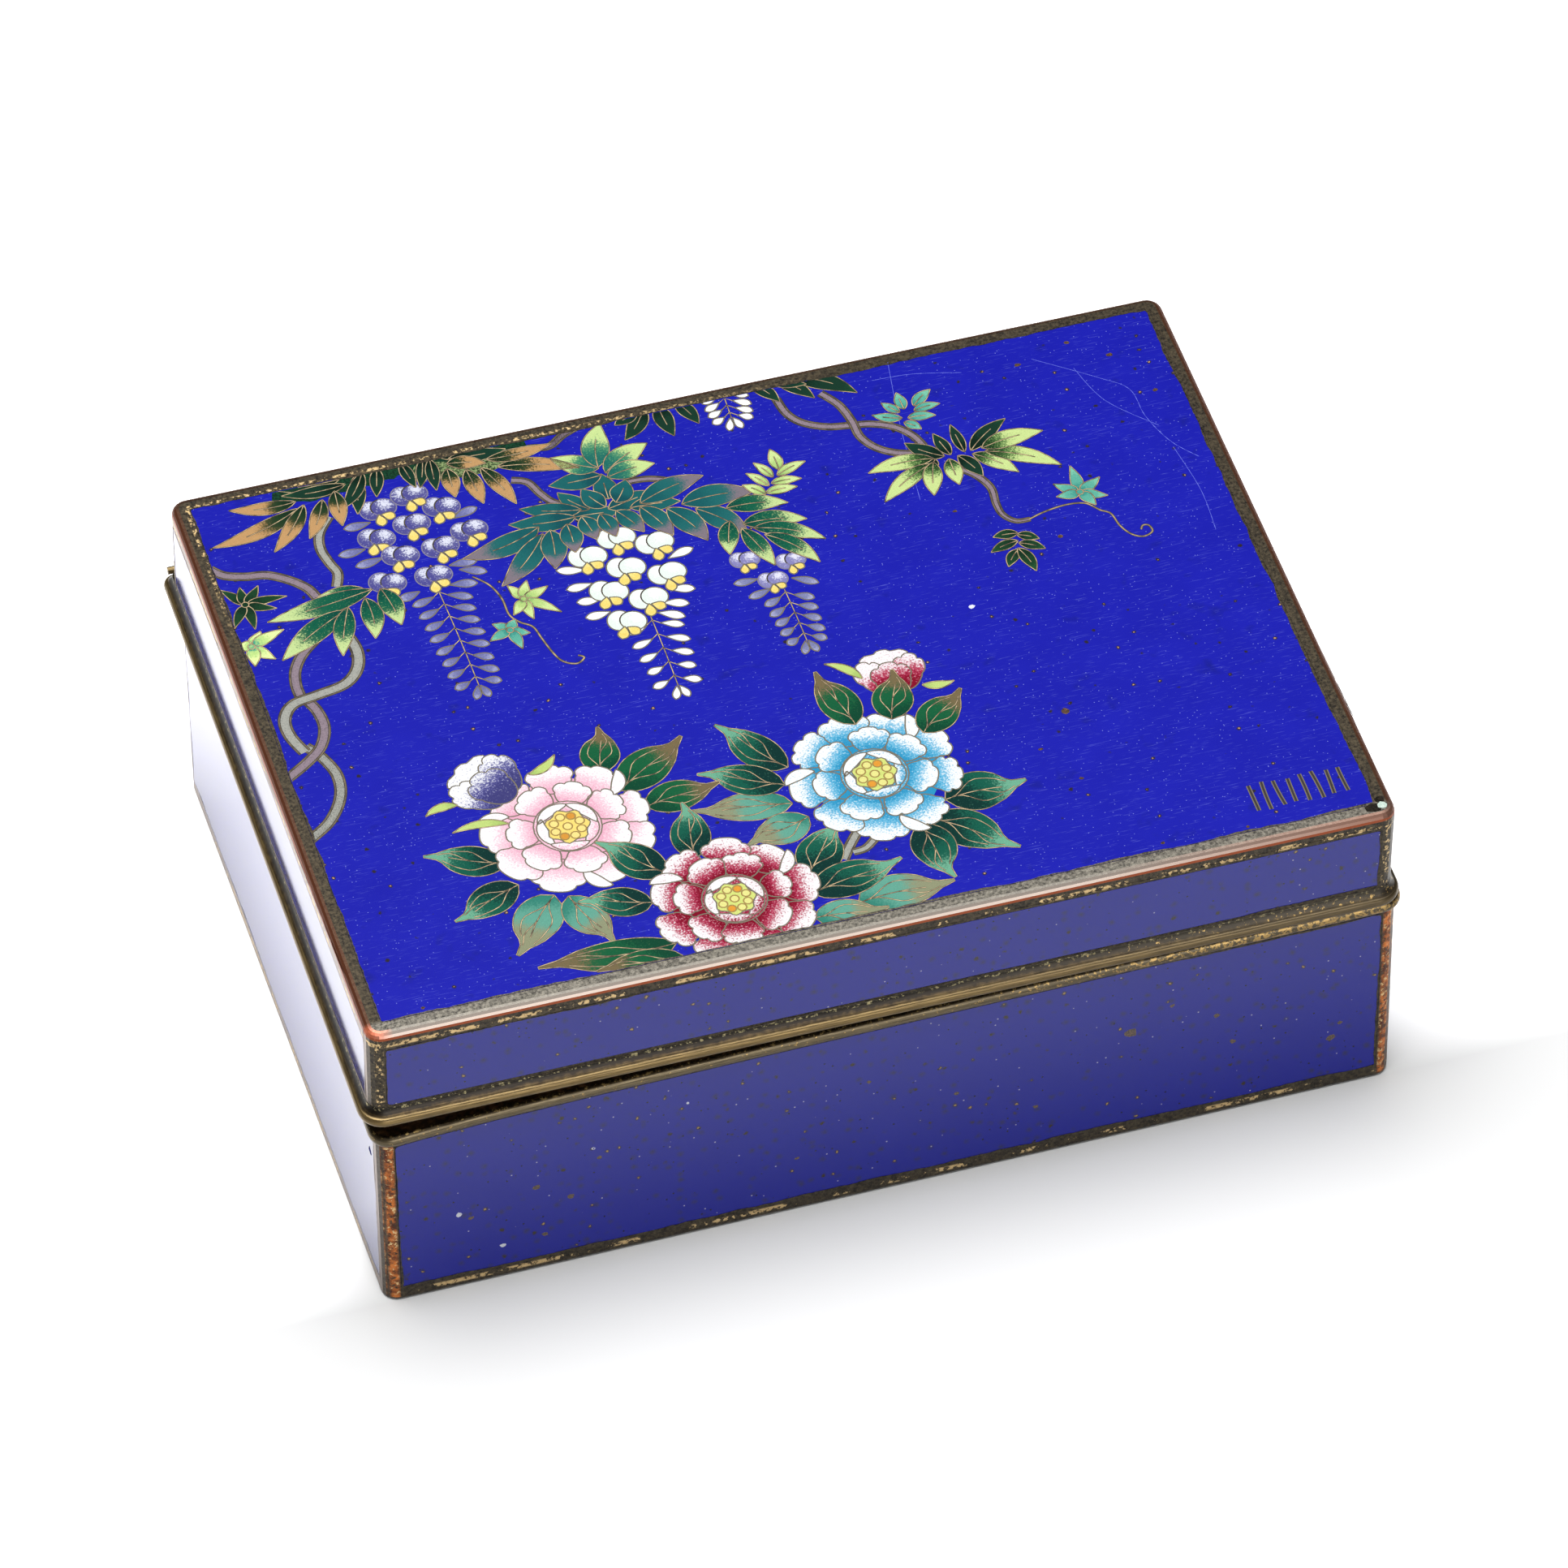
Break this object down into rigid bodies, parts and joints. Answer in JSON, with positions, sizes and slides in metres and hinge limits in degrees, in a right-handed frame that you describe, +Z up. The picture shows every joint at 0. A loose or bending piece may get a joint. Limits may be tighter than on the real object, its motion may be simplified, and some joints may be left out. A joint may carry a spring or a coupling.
{
  "type": "cloisonne enamel box",
  "caption": "Small rectangular table box in cobalt cloisonne enamel on copper, with a hinged lid, brass mouldings round its mouth and flowers and leaves on its top.",
  "frame": {"origin": "middle of the base's flat underside", "axes": "+Z up, the front faces -Y, +X to the right seen from the front; the hinge runs along X at the back"},
  "size_m": [0.1295, 0.0967, 0.0491],
  "materials": {
    "copper_body": "old sheet copper with a dark brown patina, rubbed to red copper and traces of gilding at its edges",
    "cobalt_enamel": "cobalt glass enamel, ground flush and polished, with fine pits and scratches; flowers, leaves and stems in coloured enamel between thin brass wires on the top",
    "brass_mouldings": "drawn brass moulding, worn and tarnished, darker in its hollow",
    "brass_hinge": "dull brass tube and rod, tarnished"
  },
  "bodies": {
    "base": {"base_body": "copper_body", "base_enamel_front": "cobalt_enamel", "base_enamel_right": "cobalt_enamel", "base_enamel_back": "cobalt_enamel", "base_enamel_left": "cobalt_enamel", "base_enamel_underside": "cobalt_enamel", "base_rim": "brass_mouldings", "base_collar": "copper_body", "hinge_base_knuckle_1": "brass_hinge", "hinge_base_knuckle_2": "brass_hinge", "hinge_base_knuckle_3": "brass_hinge", "hinge_pin": "brass_hinge"},
    "lid": {"lid_body": "copper_body", "lid_enamel_front": "cobalt_enamel", "lid_enamel_right": "cobalt_enamel", "lid_enamel_back": "cobalt_enamel", "lid_enamel_left": "cobalt_enamel", "lid_enamel_top": "cobalt_enamel", "lid_rim": "brass_mouldings", "hinge_lid_knuckle_1": "brass_hinge", "hinge_lid_knuckle_2": "brass_hinge"}
  },
  "joints": [
    {"name": "lid_hinge", "type": "hinge", "parent": "base", "child": "lid", "pos_m": [0, 0.0485, 0.03438], "axis": [-1, 0, 0], "range_deg": [0, 105]}
  ]
}
